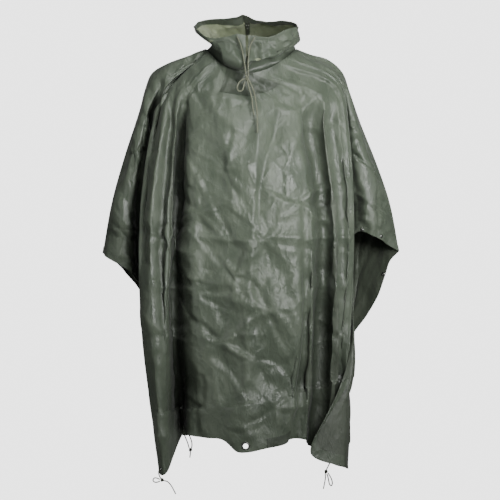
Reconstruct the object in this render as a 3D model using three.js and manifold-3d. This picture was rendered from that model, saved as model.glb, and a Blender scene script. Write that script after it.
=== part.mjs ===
// Rain poncho as worn: a rectangular coated sheet with a centre hood, hanging over
// the shoulders and arms with nothing inside. Millimetres, +Z up, the front faces -Y,
// +X is the right side seen from the front. The origin is in the middle of the neck
// at shoulder height.
import * as THREE from 'three';
import { mergeVertices } from 'three/addons/utils/BufferGeometryUtils.js';
import Module from 'manifold-3d';

const wasm = await Module();
wasm.setup();

// Cloth, trim and seam sizes
const clothThickness = 2;
const trimThickness = 1.2;
const seamGap = 0.3;
const drawcordDiameter = 3.6;
const tieDiameter = 3;
const cordSides = 8;

// Heights of the three levels that the fold tables give
const chestLevel = -190;
const waistLevel = -400;
const thighLevel = -700;

// Neck hole that the hood is sewn into
const neck = { left: 104, right: 124, front: 98, back: 95, sideZ: 15, frontZ: -50, backZ: 8 };

// Materials of the record, one for each kind of surface
const finishes = {
  cloth: new THREE.MeshStandardMaterial({ color: 0x5a6458, roughness: 0.42, side: THREE.DoubleSide }),
  lining: new THREE.MeshStandardMaterial({ color: 0x8c9673, roughness: 0.5, side: THREE.DoubleSide }),
  cord: new THREE.MeshStandardMaterial({ color: 0x96967f, roughness: 0.8 }),
  metal: new THREE.MeshStandardMaterial({ color: 0x6b6c66, roughness: 0.35, metalness: 0.9 }),
};

const poncho = new THREE.Group();
poncho.name = 'rain_poncho';

function add(name, geometry, finish) {
  const mesh = new THREE.Mesh(geometry, finishes[finish]);
  mesh.name = name;
  poncho.add(mesh);
}

// Shoulder and arm lines, from the neck to the cuff tip, in the plane Y = 0
const armLineLeft = [
  [-104, 15], [-144, -1], [-203, -23], [-240, -47], [-257, -88],
  [-271, -141], [-309, -258], [-340, -370], [-363, -498],
];
const armLineRight = [
  [124, 15], [160, 1], [204, -12], [240, -44], [259, -95],
  [285, -170], [330, -284], [360, -375], [383, -495],
];

// A row is one fold line of the front, from left to right: a point at the shoulder,
// then X and Y at the chest, waist and thigh levels, then the point at the hem.
// A fold line that ends in the cuff has no thigh, and turn is an extra point above the hem.
const frontFolds = [
  { line: 'left arm', path: armLineLeft },
  { shoulder: [-232, -40, -60], chest: [-270, -42], waist: [-324, -44], hem: [-336, -34, -517] },
  { shoulder: [-222, -60, -78], chest: [-258, -50], waist: [-287, -51], hem: [-289, -52, -550] },
  { shoulder: [-215, -70, -90], chest: [-240, -20], waist: [-214, 25], hem: [-220, 16, -640] },
  {
    shoulder: [-205, -78, -97], chest: [-234, -78], waist: [-266, -108],
    thigh: [-260, -124], hem: [-219, -116, -1044],
  },
  {
    shoulder: [-190, -86, -101], chest: [-212, -104], waist: [-240, -146],
    thigh: [-236, -163], hem: [-206, -146, -1050],
  },
  {
    shoulder: [-177, -89, -104], chest: [-190, -92], waist: [-207, -128],
    thigh: [-209, -148], hem: [-196, -132, -1040],
  },
  {
    shoulder: [-166, -96, -106], chest: [-178, -108], waist: [-190, -144],
    thigh: [-198, -146], hem: [-182, -84, -1003],
  },
  {
    shoulder: [-152, -99, -108], chest: [-159, -84], waist: [-174, -96],
    thigh: [-178, -84], hem: [-160, -22, -944],
  },
  {
    shoulder: [-138, -106, -110], chest: [-143, -120], waist: [-146, -148],
    thigh: [-126, -146], hem: [-143, -112, -953],
  },
  {
    shoulder: [-108, -116, -112], chest: [-105, -134], waist: [-104, -158],
    thigh: [-92, -160], hem: [-98, -142, -958],
  },
  {
    shoulder: [-70, -128, -112], chest: [-62, -148], waist: [-58, -166],
    thigh: [-52, -170], hem: [-57, -158, -962],
  },
  {
    shoulder: [-32, -135, -112], chest: [-28, -154], waist: [-24, -172],
    thigh: [-22, -176], hem: [-24, -174, -992],
  },
  {
    shoulder: [2, -138, -112], chest: [6, -158], waist: [4, -175],
    thigh: [0, -180], hem: [2, -176, -993],
  },
  {
    shoulder: [42, -134, -112], chest: [40, -154], waist: [34, -170],
    thigh: [40, -172], hem: [50, -166, -983],
  },
  {
    shoulder: [80, -124, -112], chest: [74, -142], waist: [80, -168],
    thigh: [92, -172], hem: [94, -156, -974],
  },
  {
    shoulder: [112, -114, -110], chest: [110, -138], waist: [122, -160],
    thigh: [133, -168], hem: [110, -150, -965],
  },
  {
    shoulder: [134, -106, -108], chest: [138, -128], waist: [148, -152],
    thigh: [141, -136], hem: [126, -128, -961],
  },
  {
    shoulder: [150, -100, -106], chest: [150, -116], waist: [163, -150],
    thigh: [163, -148], hem: [152, -132, -967],
  },
  {
    shoulder: [166, -94, -104], chest: [164, -94], waist: [190, -112],
    thigh: [190, -90], hem: [176, -92, -985],
  },
  {
    shoulder: [184, -88, -100], chest: [194, -112], waist: [216, -142],
    thigh: [218, -140], hem: [203, -116, -1014],
  },
  {
    shoulder: [200, -80, -96], chest: [213, -88], waist: [238, -114],
    thigh: [236, -124], hem: [222, -106, -1028],
  },
  {
    shoulder: [214, -72, -88], chest: [234, -92], waist: [254, -122],
    thigh: [248, -120], hem: [236, -104, -1034],
  },
  {
    shoulder: [222, -65, -81], chest: [248, -80], waist: [262, -110],
    thigh: [255, -110], hem: [247, -120, -1036],
  },
  {
    shoulder: [226, -60, -77], chest: [253, -72], waist: [267, -102],
    thigh: [259, -102], hem: [240, -142, -1030],
  },
  {
    shoulder: [229, -55, -73], chest: [255, -62], waist: [267, -90], thigh: [259, -92],
    turn: [252, -124, -850], hem: [158, -160, -996],
  },
  {
    shoulder: [231, -52, -69], chest: [256, -54], waist: [266, -80],
    thigh: [261, -88], hem: [247, -131, -832],
  },
  {
    shoulder: [232, -50, -68], chest: [254, -44], waist: [262, -62],
    thigh: [261, -82], hem: [264, -108, -796],
  },
  { shoulder: [233, -47, -66], chest: [251, -34], waist: [250, -36], hem: [256, -74, -762] },
  { shoulder: [234, -44, -64], chest: [244, -18], waist: [226, 14], hem: [222, 20, -610] },
  { shoulder: [236, -38, -60], chest: [262, -44], waist: [277, -46], hem: [277, -46, -446] },
  { shoulder: [238, -28, -56], chest: [278, -40], waist: [318, -50], hem: [321, -48, -458] },
  { line: 'right arm', path: armLineRight },
];

// The same for the back, from right to left seen from the front
const backFolds = [
  { line: 'right arm', path: armLineRight },
  { shoulder: [236, 24, -54], chest: [286, 24], waist: [348, 24], hem: [362, 24, -522] },
  { shoulder: [228, 46, -62], chest: [276, 44], waist: [334, 46], hem: [334, 40, -600] },
  { shoulder: [216, 60, -70], chest: [258, 56], waist: [308, 64], hem: [305, 56, -655] },
  { shoulder: [202, 74, -78], chest: [238, 70], waist: [282, 80], hem: [260, 80, -728] },
  {
    shoulder: [184, 84, -82], chest: [212, 88], waist: [250, 112],
    thigh: [250, 118], hem: [232, 104, -940],
  },
  {
    shoulder: [154, 92, -84], chest: [172, 92], waist: [198, 96],
    thigh: [202, 90], hem: [192, 80, -944],
  },
  {
    shoulder: [122, 100, -83], chest: [138, 120], waist: [154, 138],
    thigh: [160, 150], hem: [156, 148, -950],
  },
  {
    shoulder: [84, 107, -80], chest: [94, 116], waist: [104, 122],
    thigh: [110, 112], hem: [110, 100, -952],
  },
  {
    shoulder: [44, 113, -76], chest: [48, 136], waist: [54, 152],
    thigh: [60, 164], hem: [62, 168, -956],
  },
  { shoulder: [2, 112, -75], chest: [2, 130], waist: [2, 138], thigh: [4, 136], hem: [6, 132, -958] },
  {
    shoulder: [-42, 113, -76], chest: [-44, 136], waist: [-46, 150],
    thigh: [-44, 162], hem: [-46, 166, -956],
  },
  {
    shoulder: [-80, 108, -80], chest: [-86, 118], waist: [-94, 122],
    thigh: [-96, 112], hem: [-98, 102, -952],
  },
  {
    shoulder: [-118, 102, -83], chest: [-130, 122], waist: [-142, 140],
    thigh: [-148, 152], hem: [-144, 150, -950],
  },
  {
    shoulder: [-150, 94, -84], chest: [-166, 96], waist: [-186, 98],
    thigh: [-190, 92], hem: [-184, 82, -946],
  },
  {
    shoulder: [-180, 86, -84], chest: [-205, 92], waist: [-232, 116],
    thigh: [-232, 122], hem: [-218, 108, -942],
  },
  {
    shoulder: [-200, 76, -80], chest: [-228, 62], waist: [-238, 72],
    thigh: [-214, 62], hem: [-146, 50, -958],
  },
  { shoulder: [-209, 70, -77], chest: [-240, 56], waist: [-252, 60], hem: [-240, 58, -740] },
  { shoulder: [-218, 62, -74], chest: [-252, 52], waist: [-272, 56], hem: [-264, 56, -610] },
  { shoulder: [-232, 42, -60], chest: [-270, 42], waist: [-320, 46], hem: [-326, 38, -530] },
  { line: 'left arm', path: armLineLeft },
];

// Places of the fold lines that carry something, in the order of the tables
const frontLine = {
  leftCuff: 2, leftCorner: 4, patchLeft: 11, middle: 13, patchRight: 17, bandRight: 16,
  rightCorner: 20, flapRoot: 24, rightEdge: 26, rightCuff: 30, rightArm: 32,
};
const backLine = {
  rightWing: 1, rightCorner: 5, hemRight: 6, patchRight: 7, middle: 10, patchLeft: 13,
  hemLeft: 14, leftCorner: 16, leftEdge: 18,
};

const wideFold = 40;
const frontRows = 19;
const backRows = 13;
const hemBand = 0.028;

// Neck hole at an angle that runs from the left side over the front or back to the right side
function neckPoint(angle, front) {
  const across = -Math.cos(angle);
  const depth = Math.sin(angle);
  const endZ = front ? neck.frontZ : neck.backZ;
  return new THREE.Vector3(
    across * (across < 0 ? neck.left : neck.right),
    depth * (front ? -neck.front : neck.back),
    neck.sideZ + (endZ - neck.sideZ) * depth * depth,
  );
}

// One fold line as a curve from the neck hole to the hem
function foldCurve(fold, angle, front) {
  if (fold.path) {
    const seamY = (front ? -1 : 1) * seamGap / 2;
    return new THREE.CatmullRomCurve3(fold.path.map(([x, z]) => new THREE.Vector3(x, seamY, z)));
  }
  const points = [neckPoint(angle, front), new THREE.Vector3(...fold.shoulder)];
  points.push(new THREE.Vector3(...fold.chest, chestLevel));
  points.push(new THREE.Vector3(...fold.waist, waistLevel));
  if (fold.thigh) points.push(new THREE.Vector3(...fold.thigh, thighLevel));
  if (fold.turn) points.push(new THREE.Vector3(...fold.turn));
  points.push(new THREE.Vector3(...fold.hem));
  return new THREE.CatmullRomCurve3(points);
}

// Shares of the length of a fold line at which the rows of the mesh lie: close together
// at the neck, and one narrow row along the hem
function rowShares(rows) {
  const shares = [];
  for (let row = 0; row < rows; row += 1) {
    shares.push((1 - hemBand) * (row / (rows - 1)) ** 1.12);
  }
  shares.push(1);
  return shares;
}

// Grid of points of one panel: rows down the cloth, columns from left to right
function panelGrid(folds, rows, front) {
  const last = folds.length - 1;
  const curves = folds.map((fold, index) => {
    const turn = front ? index / last : 1 - index / last;
    return foldCurve(fold, Math.PI * turn, front);
  });
  const columns = [];
  for (let index = 0; index < last; index += 1) {
    columns.push(index);
    const widths = [0.5, 1].map((share) => (
      curves[index].getPointAt(share).distanceTo(curves[index + 1].getPointAt(share))
    ));
    if (widths[1] > 4 * wideFold) columns.push(index + 0.33, index + 0.67);
    else if (widths[0] > wideFold) columns.push(index + 0.5);
  }
  columns.push(last);
  const grid = rowShares(rows).map((share) => {
    const across = new THREE.CatmullRomCurve3(curves.map((curve) => curve.getPointAt(share)));
    return columns.map((column) => across.getPoint(column / last));
  });
  return { grid, columns };
}

// Unit normals of a grid and how far a fold stretches an offset at each point
function gridNormals(grid) {
  const faces = [];
  const corner = (row, column) => grid[row][column];
  for (let row = 0; row + 1 < grid.length; row += 1) {
    faces.push([]);
    for (let column = 0; column + 1 < grid[0].length; column += 1) {
      const acrossDown = corner(row + 1, column + 1).clone().sub(corner(row, column));
      const downAcross = corner(row + 1, column).clone().sub(corner(row, column + 1));
      faces[row].push(downAcross.cross(acrossDown).normalize());
    }
  }
  return grid.map((points, row) => points.map((point, column) => {
    const near = [];
    for (const faceRow of [row - 1, row]) {
      for (const faceColumn of [column - 1, column]) {
        if (faces[faceRow]?.[faceColumn]) near.push(faces[faceRow][faceColumn]);
      }
    }
    const normal = near.reduce((sum, face) => sum.add(face), new THREE.Vector3()).normalize();
    const slope = near.reduce((sum, face) => sum + face.dot(normal), 0) / near.length;
    return normal.multiplyScalar(1 / Math.max(slope, 0.55));
  }));
}

// Closed wall round a grid of middle points, moved out by lift along the normals
function wallGeometry(grid, normals, thickness, lift = 0) {
  const rows = grid.length;
  const columns = grid[0].length;
  const positions = [];
  for (const side of [1, -1]) {
    for (let row = 0; row < rows; row += 1) {
      for (let column = 0; column < columns; column += 1) {
        const offset = lift + side * thickness / 2;
        const point = grid[row][column].clone().addScaledVector(normals[row][column], offset);
        positions.push(point.x, point.y, point.z);
      }
    }
  }
  const outer = (row, column) => row * columns + column;
  const inner = (row, column) => rows * columns + outer(row, column);
  const indices = [];
  const quad = (a, b, c, d) => indices.push(a, b, c, a, c, d);
  for (let row = 0; row + 1 < rows; row += 1) {
    for (let column = 0; column + 1 < columns; column += 1) {
      quad(outer(row, column), outer(row + 1, column), outer(row + 1, column + 1), outer(row, column + 1));
      quad(inner(row, column), inner(row, column + 1), inner(row + 1, column + 1), inner(row + 1, column));
    }
  }
  for (let column = 0; column + 1 < columns; column += 1) {
    quad(outer(0, column), outer(0, column + 1), inner(0, column + 1), inner(0, column));
    const end = rows - 1;
    quad(outer(end, column + 1), outer(end, column), inner(end, column), inner(end, column + 1));
  }
  for (let row = 0; row + 1 < rows; row += 1) {
    quad(outer(row + 1, 0), outer(row, 0), inner(row, 0), inner(row + 1, 0));
    const end = columns - 1;
    quad(outer(row, end), outer(row + 1, end), inner(row + 1, end), inner(row, end));
  }
  const geometry = new THREE.BufferGeometry();
  geometry.setAttribute('position', new THREE.Float32BufferAttribute(positions, 3));
  geometry.setIndex(indices);
  return geometry;
}

// Normals of the two seam columns lie in the seam plane, so that both walls meet flat
function flattenSeamNormals(grid, normals) {
  for (const column of [0, grid[0].length - 1]) {
    normals.forEach((line) => {
      line[column].y = 0;
      line[column].normalize();
    });
  }
}

function solidOf(geometry) {
  const bare = new THREE.BufferGeometry();
  bare.setAttribute('position', geometry.getAttribute('position').clone());
  if (geometry.index) bare.setIndex(geometry.index.clone());
  const merged = mergeVertices(bare, 1e-4);
  return new wasm.Manifold(new wasm.Mesh({
    numProp: 3,
    vertProperties: new Float32Array(merged.getAttribute('position').array),
    triVerts: new Uint32Array(merged.index.array),
  }));
}

function geometryOf(solid) {
  const mesh = solid.getMesh();
  const geometry = new THREE.BufferGeometry();
  geometry.setAttribute('position', new THREE.BufferAttribute(mesh.vertProperties, 3));
  geometry.setIndex(new THREE.BufferAttribute(mesh.triVerts, 1));
  return geometry;
}

// Middle point and outward normal of a panel at a row and a fold line, which may lie between two
function placeAt(panel, row, fold) {
  const right = panel.columns.findIndex((column) => column > fold);
  const left = right - 1;
  const along = (fold - panel.columns[left]) / (panel.columns[right] - panel.columns[left]);
  const top = Math.floor(row);
  const down = row - top;
  const blend = (lines) => {
    const upper = lines[top][left].clone().lerp(lines[top][right], along);
    const lower = lines[top + 1][left].clone().lerp(lines[top + 1][right], along);
    return upper.lerp(lower, down);
  };
  const corner = (below, beside) => panel.grid[top + below][left + beside];
  const acrossDown = corner(1, 1).clone().sub(corner(0, 0));
  const downAcross = corner(1, 0).clone().sub(corner(0, 1));
  return { middle: blend(panel.grid), normal: downAcross.cross(acrossDown).normalize() };
}

// Turns a shape whose axis is Y so that the axis lies along the normal at a place
function placeOn(geometry, middle, normal) {
  const turn = new THREE.Quaternion().setFromUnitVectors(new THREE.Vector3(0, 1, 0), normal);
  geometry.applyQuaternion(turn);
  geometry.translate(middle.x, middle.y, middle.z);
  return geometry;
}

function panelOf(folds, rows, front) {
  const { grid, columns } = panelGrid(folds, rows, front);
  const normals = gridNormals(grid);
  flattenSeamNormals(grid, normals);
  return { grid, normals, columns };
}

// A band or patch that lies on some cells of a panel, on its outer or inner face
function overlay(panel, [firstRow, lastRow], [firstColumn, lastColumn], side) {
  const part = (lines) => lines.slice(firstRow, lastRow + 1)
    .map((line) => line.slice(firstColumn, lastColumn + 1));
  const lift = side * (clothThickness / 2 + seamGap + trimThickness / 2);
  return wallGeometry(part(panel.grid), part(panel.normals), trimThickness, lift);
}

const front = panelOf(frontFolds, frontRows, true);
const back = panelOf(backFolds, backRows, false);
const frontHem = frontRows;
const backHem = backRows;

// Eyelets: a ring in a round hole, between two fold lines; rise is the share of the hem row
// that lies below the ring's middle
const cornerEyelet = { inner: 3.2, outer: 6, height: 3.2, hole: 6.4 };
const hemEyelet = { inner: 6.5, outer: 11, height: 3.6, hole: 11.4 };
const frontEyelets = [
  { name: 'eyelet_front_left', size: cornerEyelet, fold: frontLine.leftCorner + 0.5, rise: 0.5 },
  { name: 'eyelet_front_centre', size: hemEyelet, fold: frontLine.middle - 0.2, rise: 0.58 },
  { name: 'eyelet_front_right', size: cornerEyelet, fold: frontLine.rightCorner + 0.5, rise: 0.5 },
];
const backEyelets = [
  { name: 'eyelet_back_right', size: cornerEyelet, fold: backLine.rightCorner + 0.4, rise: 0.5 },
  { name: 'eyelet_back_centre', size: hemEyelet, fold: backLine.middle + 0.42, rise: 0.58 },
  { name: 'eyelet_back_left', size: cornerEyelet, fold: backLine.leftCorner - 0.15, rise: 0.5 },
];

function ringGeometry({ inner, outer, height }) {
  const half = height / 2;
  const middle = (inner + outer) / 2;
  const bead = [
    [inner, -half * 0.4], [middle, -half], [outer, -half * 0.4],
    [outer, half * 0.4], [middle, half], [inner, half * 0.4], [inner, -half * 0.4],
  ];
  return new THREE.LatheGeometry(bead.map(([x, y]) => new THREE.Vector2(x, y)), 14);
}

function addPanelWithEyelets(name, panel, eyelets) {
  let cloth = solidOf(wallGeometry(panel.grid, panel.normals, clothThickness));
  const hem = panel.grid.length - 1;
  for (const { name: ringName, size, fold, rise } of eyelets) {
    const { middle, normal } = placeAt(panel, hem - rise, fold);
    const punch = new THREE.CylinderGeometry(size.hole, size.hole, 16, 24);
    cloth = cloth.subtract(solidOf(placeOn(punch, middle, normal)));
    add(ringName, placeOn(ringGeometry(size), middle, normal), 'metal');
  }
  add(name, geometryOf(cloth), 'cloth');
}

addPanelWithEyelets('front_panel', front, frontEyelets);
addPanelWithEyelets('back_panel', back, backEyelets);

// Reinforcements and bands on the panels: rows of the mesh, then the fold lines they lie between
const frontBand = [frontHem - 1, frontHem];
const backBand = [backHem - 1, backHem];
const bands = [
  {
    name: 'neck_patch_front', panel: front, rows: [0, 2],
    folds: [frontLine.patchLeft, frontLine.patchRight],
  },
  {
    name: 'neck_patch_back', panel: back, rows: [0, 2],
    folds: [backLine.patchRight, backLine.patchLeft],
  },
  {
    name: 'hem_band_front', panel: front, rows: frontBand,
    folds: [frontLine.middle + 1, frontLine.bandRight],
  },
  {
    name: 'hem_band_back_right', panel: back, rows: backBand,
    folds: [backLine.hemRight, backLine.middle],
  },
  {
    name: 'hem_band_back_left', panel: back, rows: backBand,
    folds: [backLine.middle + 1, backLine.hemLeft],
  },
  { name: 'cuff_band_left', panel: front, rows: frontBand, folds: [0, frontLine.leftCuff] },
  {
    name: 'cuff_band_right', panel: front, rows: frontBand,
    folds: [frontLine.rightCuff, frontLine.rightArm],
  },
  {
    name: 'flap_band', panel: front, rows: frontBand,
    folds: [frontLine.flapRoot, frontLine.rightEdge], inside: true,
  },
];
for (const { name, panel, rows, folds, inside } of bands) {
  const columns = folds.map((fold) => panel.columns.indexOf(fold));
  add(name, overlay(panel, rows, columns, inside ? -1 : 1), 'cloth');
}

// Press studs of the side edges: low domes on the cloth or on the band that covers it
const stud = { radius: 5, height: 3, seat: 0.6, bandSeat: 0.9 };
const studs = [
  {
    name: 'stud_right_cuff_front', panel: front, row: frontHem - 0.6,
    fold: frontLine.rightCuff + 0.25, onBand: true,
  },
  {
    name: 'stud_right_cuff_arm', panel: front, row: frontHem - 0.6,
    fold: frontLine.rightArm - 0.75, onBand: true,
  },
  {
    name: 'stud_right_back_edge', panel: back, row: backHem - 0.8,
    fold: backLine.rightWing + 0.6, inside: true,
  },
  {
    name: 'stud_left_cuff', panel: front, row: frontHem - 0.5,
    fold: frontLine.leftCuff - 0.3, onBand: true,
  },
  { name: 'stud_left_back_edge', panel: back, row: backHem - 0.8, fold: backLine.leftEdge + 0.5 },
];

function domeGeometry({ radius, height }) {
  const profile = [
    [0, 0], [radius, 0], [radius, height * 0.35], [radius * 0.75, height * 0.85], [0, height],
  ];
  return new THREE.LatheGeometry(profile.map(([x, y]) => new THREE.Vector2(x, y)), 12);
}

function addStud({ name, panel, row, fold, inside, onBand }) {
  const { middle, normal } = placeAt(panel, row, fold);
  if (inside) normal.negate();
  const seat = onBand ? seamGap + trimThickness + stud.bandSeat : stud.seat;
  middle.addScaledVector(normal, clothThickness / 2 + seat);
  add(name, placeOn(domeGeometry(stud), middle, normal), 'metal');
}
studs.forEach(addStud);

// Hood: rings from the seam in the neck hole up to the face opening. Left, right, front and
// back are distances from the middle, and the side height is where the ring crosses Y = 0.
const neckInset = 2.5;
const hoodRings = [
  { drop: -6 },
  { drop: 9 },
  { left: 105, right: 124, front: 126, back: 122, leftZ: 36, rightZ: 34, frontZ: -24, backZ: 30 },
  { left: 108, right: 125, front: 108, back: 146, leftZ: 50, rightZ: 48, frontZ: 10, backZ: 60 },
  { left: 134, right: 131, front: 90, back: 92, leftZ: 73, rightZ: 70, frontZ: 44, backZ: 100 },
];
const chinSlit = 8;
const hoodColumns = 18;
const hoodRows = 9;
const casingShare = 0.14;

function hoodRing(ring) {
  if (ring.drop === undefined) return ring;
  return {
    left: neck.left - neckInset,
    right: neck.right - neckInset,
    front: neck.front - neckInset,
    back: neck.back - neckInset,
    leftZ: neck.sideZ + ring.drop,
    rightZ: neck.sideZ + ring.drop,
    frontZ: neck.frontZ + ring.drop,
    backZ: neck.backZ + ring.drop,
  };
}

// Point of a hood ring: the angle runs from the chin slit to the centre back seam
function hoodPoint(ring, level, angle, side) {
  const { left, right, front: ahead, back: behind, leftZ, rightZ, frontZ, backZ } = hoodRing(ring);
  const inFront = Math.cos(angle) > 0;
  const share = Math.cos(angle) ** 2;
  const sideZ = side < 0 ? leftZ : rightZ;
  const slit = inFront ? chinSlit / 2 * level * Math.cos(angle) : 0;
  return new THREE.Vector3(
    side * (seamGap / 2 + slit + (side < 0 ? left : right) * Math.sin(angle)),
    -Math.cos(angle) * (inFront ? ahead : behind),
    sideZ + ((inFront ? frontZ : backZ) - sideZ) * share,
  );
}

function hoodHalf(side) {
  const curves = [];
  for (let column = 0; column <= hoodColumns; column += 1) {
    const angle = Math.PI * column / hoodColumns;
    const points = hoodRings.map((ring, index) => (
      hoodPoint(ring, index / (hoodRings.length - 1), angle, side)
    ));
    curves.push(new THREE.CatmullRomCurve3(points));
  }
  if (side < 0) curves.reverse();
  const grid = [];
  for (let row = 0; row <= hoodRows; row += 1) {
    const share = row === 0 ? 1 : (1 - casingShare) * (hoodRows - row) / (hoodRows - 1);
    grid.push(curves.map((curve) => curve.getPointAt(share)));
  }
  const normals = gridNormals(grid);
  const seam = side < 0 ? 0 : hoodColumns;
  normals.forEach((line) => {
    line[seam].x = 0;
    line[seam].normalize();
  });
  return { grid, normals, seam };
}

// The drawcord casing lies along the rim inside the hood
const hoodHalves = { left: hoodHalf(-1), right: hoodHalf(1) };
for (const [name, half] of Object.entries(hoodHalves)) {
  add(`hood_${name}`, wallGeometry(half.grid, half.normals, clothThickness), 'cloth');
  add(`hood_casing_${name}`, overlay(half, [0, 1], [0, hoodColumns], -1), 'cloth');
}

// Seam tape down the inside of the back seam, over the casing, with three press studs
const tape = { halfWidth: 7, rows: 5, clearance: 0.25 };

function seamTapeGrid() {
  const { left, right } = hoodHalves;
  const lift = clothThickness / 2 + 2 * seamGap + trimThickness * 1.5 + tape.clearance;
  return right.grid.slice(0, tape.rows).map((line, row) => {
    const edge = (half, seam, next) => {
      const middle = half.grid[row][seam];
      const beside = half.grid[row][next];
      const share = tape.halfWidth / Math.abs(beside.x - middle.x);
      return middle.clone().lerp(beside, share);
    };
    const normal = right.normals[row][right.seam];
    const points = [
      edge(right, right.seam, right.seam - 1),
      line[right.seam].clone(),
      edge(left, left.seam, left.seam + 1),
    ];
    return points.map((point) => point.addScaledVector(normal, -lift));
  });
}

const tapeGrid = seamTapeGrid();
const tapeWall = { grid: tapeGrid, normals: gridNormals(tapeGrid), columns: [0, 1, 2] };
add('hood_tape', wallGeometry(tapeWall.grid, tapeWall.normals, trimThickness), 'cloth');

const hoodStuds = [
  { name: 'hood_stud_upper_left', row: 1.3, fold: 1.45 },
  { name: 'hood_stud_upper_right', row: 1.3, fold: 0.55 },
  { name: 'hood_stud_lower', row: 2.2, fold: 0.9 },
];
const hoodStud = { radius: 2.6, height: 1.6 };
for (const { name, row, fold } of hoodStuds) {
  const { middle, normal } = placeAt(tapeWall, row, fold);
  middle.addScaledVector(normal, -(trimThickness / 2 + seamGap));
  add(name, placeOn(domeGeometry(hoodStud), middle, normal.negate()), 'metal');
}

// Round cord along a route of points chosen by hand
function cordGeometry(route, diameter) {
  const path = new THREE.CatmullRomCurve3(route.map((point) => new THREE.Vector3(...point)));
  const steps = Math.ceil(path.getLength() / (2.4 * diameter));
  const section = new THREE.Shape();
  for (let side = 0; side < cordSides; side += 1) {
    const angle = 2 * Math.PI * side / cordSides;
    const corner = [diameter / 2 * Math.cos(angle), diameter / 2 * Math.sin(angle)];
    if (side) section.lineTo(...corner);
    else section.moveTo(...corner);
  }
  section.closePath();
  return new THREE.ExtrudeGeometry(section, { extrudePath: path, steps, bevelEnabled: false });
}

// Knot as one rounded solid of its outer size, its axis along Z
function knotGeometry([x, y, z], width, height) {
  const knot = new THREE.SphereGeometry(width / 2, 10, 8);
  knot.rotateX(Math.PI / 2);
  knot.scale(1, 1, height / width);
  knot.translate(x, y, z);
  return knot;
}

// Drawcord: two strands out of the casing, a knot, a small bow and two free ends
const drawcordRoutes = {
  drawcord_left: [
    [-25, -95, 41], [-21, -104.6, 32], [-16, -115, 20], [-12, -125, 6], [-9, -132, -10],
    [-6, -137, -28], [-4, -140.5, -44], [-2, -142.6, -59.6],
  ],
  drawcord_right: [
    [19, -95.9, 39], [14, -105.5, 30], [9, -115, 19], [6, -125, 6], [4, -132, -10],
    [3, -137, -28], [3, -140.5, -44], [3, -142.6, -59.4],
  ],
  drawcord_bow: [
    [-6.4, -144, -66], [-14, -146, -70], [-22, -148, -80], [-24, -149, -90], [-19, -150, -97],
    [-11, -150, -94], [-8, -149, -84], [-5.5, -148, -74],
  ],
  drawcord_end_short: [
    [1.9, -145.8, -72.5], [4, -150, -84], [8, -153, -98], [12, -156, -114], [14, -159, -132],
    [16, -162, -146], [18, -163, -156],
  ],
  drawcord_end_long: [
    [5.5, -144.8, -70.6], [11, -149, -82], [17, -153, -98], [21, -156, -118], [24, -160, -138],
    [25.5, -163, -160], [26, -165, -180], [26, -167, -200],
  ],
};
for (const [name, route] of Object.entries(drawcordRoutes)) {
  add(name, cordGeometry(route, drawcordDiameter), 'cord');
}
const drawcordKnotSize = [11, 12];
add('drawcord_knot', knotGeometry([0, -143, -66], ...drawcordKnotSize), 'cord');

// Tie cords of the corner eyelets: a strand out of the eyelet, a knot, a bow or loop, a free end
const tieKnotSize = [9.2, 10.4];
const tieKnots = {
  tie_front_left: [-211, -134, -1063],
  tie_front_right: [196.8, -122, -1043],
  tie_back_right: [213, 97, -957],
  tie_back_left: [-143.5, 63, -998],
};
const tieRoutes = {
  tie_front_left_strand: [
    [-214.4, -135.1, -1037], [-218, -136.7, -1038.5], [-219.5, -137.6, -1042],
    [-219, -138, -1048], [-217, -137, -1054], [-214.4, -135.8, -1059],
  ],
  tie_front_left_bow: [
    [-216.9, -136, -1061.5], [-223, -138, -1058.5], [-230, -139, -1058], [-233.5, -139, -1063],
    [-230, -138, -1068], [-223, -137, -1068.5], [-216.5, -135.5, -1066],
  ],
  tie_front_left_end: [
    [-206, -134, -1065], [-199, -135, -1066.5], [-193, -136, -1071], [-187, -137, -1079],
    [-182, -138, -1088], [-177, -138, -1098],
  ],
  tie_front_right_strand: [
    [213.2, -112, -1006], [212.6, -117, -1007.5], [211, -119.8, -1012], [206, -121.5, -1022],
    [201, -122, -1032], [198.2, -122, -1037.9],
  ],
  tie_front_right_bow: [
    [199, -124, -1048.6], [201.5, -125, -1056], [203.5, -126, -1066], [206, -126, -1075],
    [210, -126, -1078], [212.5, -126, -1072], [210.5, -125.5, -1062], [206, -124.5, -1053],
    [201.5, -123.3, -1046.2],
  ],
  tie_front_right_end: [
    [195, -123, -1048.7], [195.5, -124, -1057], [194, -125, -1067], [192, -126, -1077],
    [190, -127, -1086],
  ],
  tie_back_right_strand: [
    [217.3, 92.9, -931.6], [215.4, 96.8, -932.4], [213.6, 98.6, -936], [213, 98.6, -944],
    [213, 97.6, -951.6],
  ],
  tie_back_right_bow: [
    [207.8, 98, -957], [202, 99, -954.5], [196, 100, -958], [194, 100, -966],
    [199, 99, -972], [205, 98, -968], [209, 97.5, -962],
  ],
  tie_back_right_end: [
    [214.4, 97, -962.7], [217, 98, -971], [220, 99, -983], [221, 99.5, -996], [220, 99, -1008],
  ],
  tie_back_left_strand: [
    [-146.8, 60.6, -993.1], [-150.5, 57, -980], [-157, 54.5, -964], [-162.5, 54.5, -951],
    [-163.6, 57.2, -944.4], [-161, 60.6, -943.2], [-158.2, 64.2, -944.4], [-152, 68.5, -952],
    [-144.5, 68.5, -966], [-140, 67.5, -980], [-140.5, 65.6, -992.6],
  ],
  tie_back_left_end: [[-143.5, 63.5, -1003.6], [-144, 64, -1010], [-145, 64, -1018]],
};
for (const [name, route] of Object.entries(tieRoutes)) {
  add(name, cordGeometry(route, tieDiameter), 'cord');
}
for (const [name, middle] of Object.entries(tieKnots)) {
  add(`${name}_knot`, knotGeometry(middle, ...tieKnotSize), 'cord');
}

export default poncho;
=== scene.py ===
import math

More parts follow.
